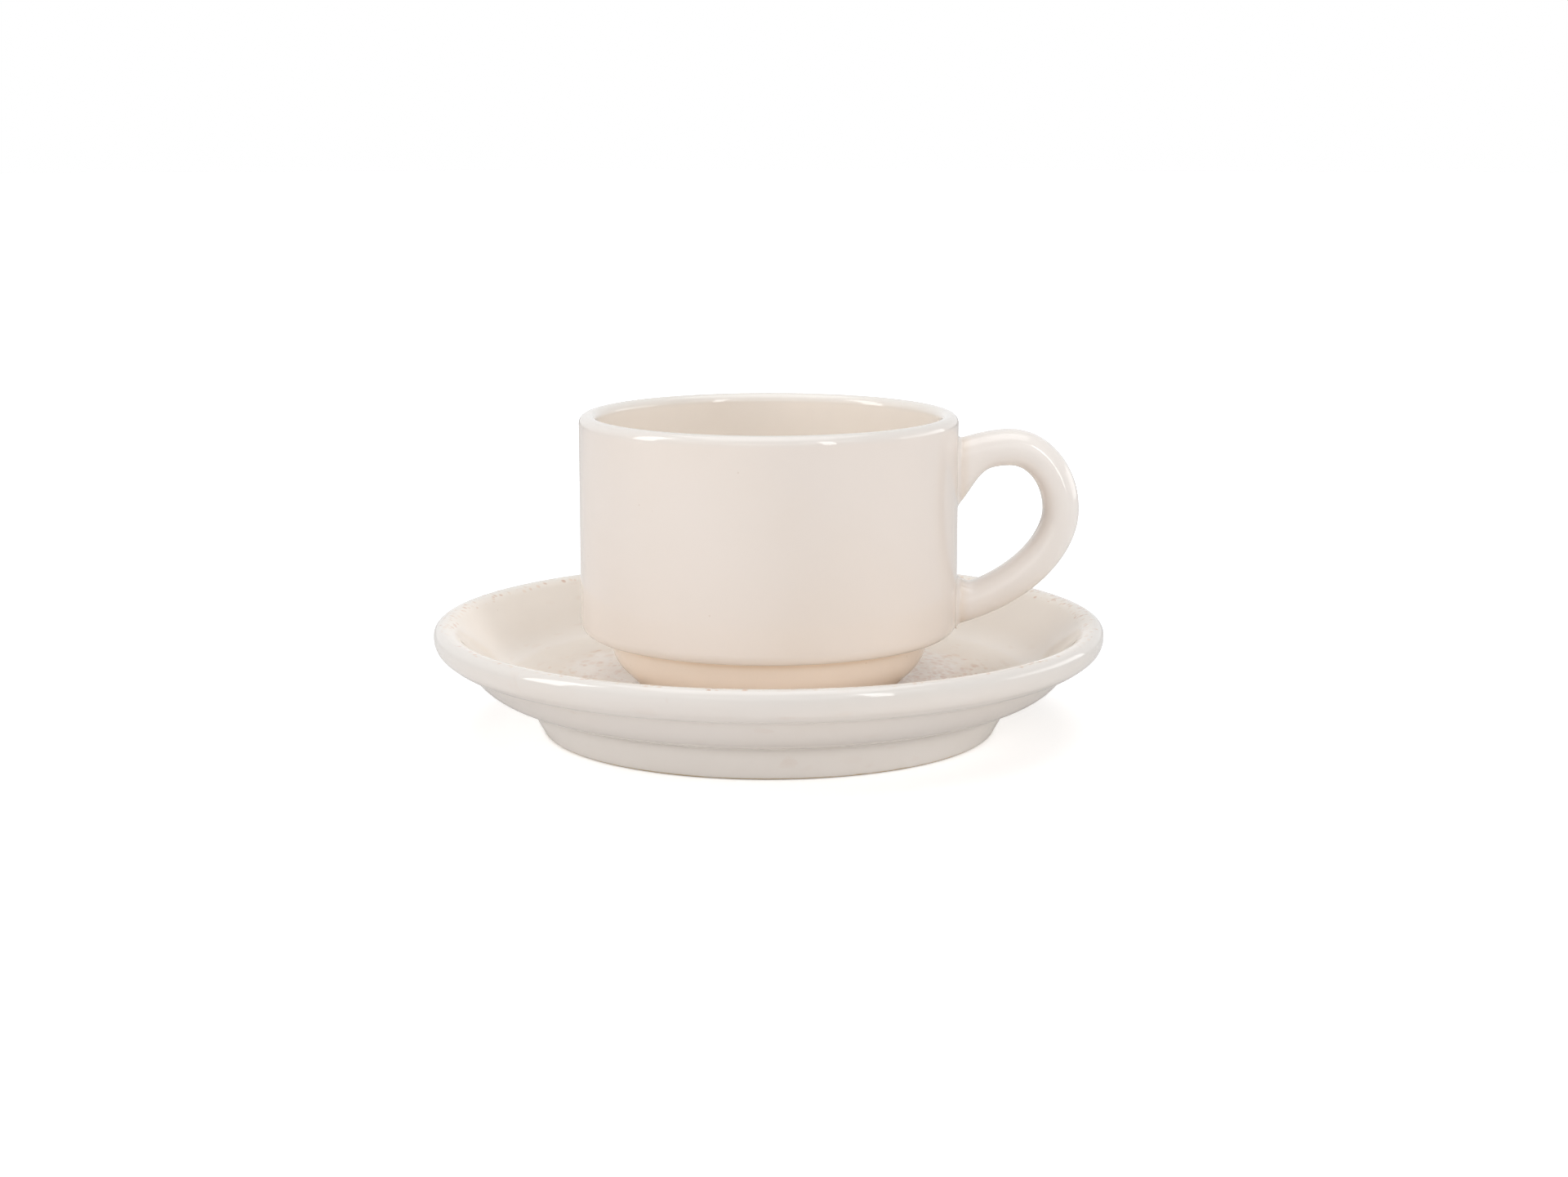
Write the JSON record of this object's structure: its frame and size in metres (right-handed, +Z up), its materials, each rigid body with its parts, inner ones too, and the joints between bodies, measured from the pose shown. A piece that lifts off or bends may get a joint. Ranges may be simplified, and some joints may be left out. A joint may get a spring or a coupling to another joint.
{
  "type": "teacup and saucer",
  "caption": "Stacking teacup with a looped handle, standing in the well of a round saucer with a rounded lip, a stepped underside and a foot ring; cream glaze, flecked on the saucer.",
  "frame": {"origin": "centre of the saucer's foot ring, on the table", "axes": "+Z up along the axis of saucer and cup, +X along the handle"},
  "size_m": [0.15, 0.15, 0.071],
  "materials": {
    "saucer_glaze": "glossy cream glaze with brown flecks on the upper side",
    "cup_glaze": "glossy cream glaze",
    "handle_glaze": "glossy cream glaze",
    "slip": "slip under glaze, slightly darker where glaze pools"
  },
  "bodies": {
    "saucer": {"saucer": "saucer_glaze"},
    "cup": {"cup_body": "cup_glaze", "handle": "handle_glaze", "upper_slip_pad": "slip", "lower_slip_pad": "slip"}
  },
  "joints": [
    {"name": "cup_lift", "type": "slide", "parent": "saucer", "child": "cup", "axis": [0, 0, 1], "range_m": [0, 0.1]}
  ]
}
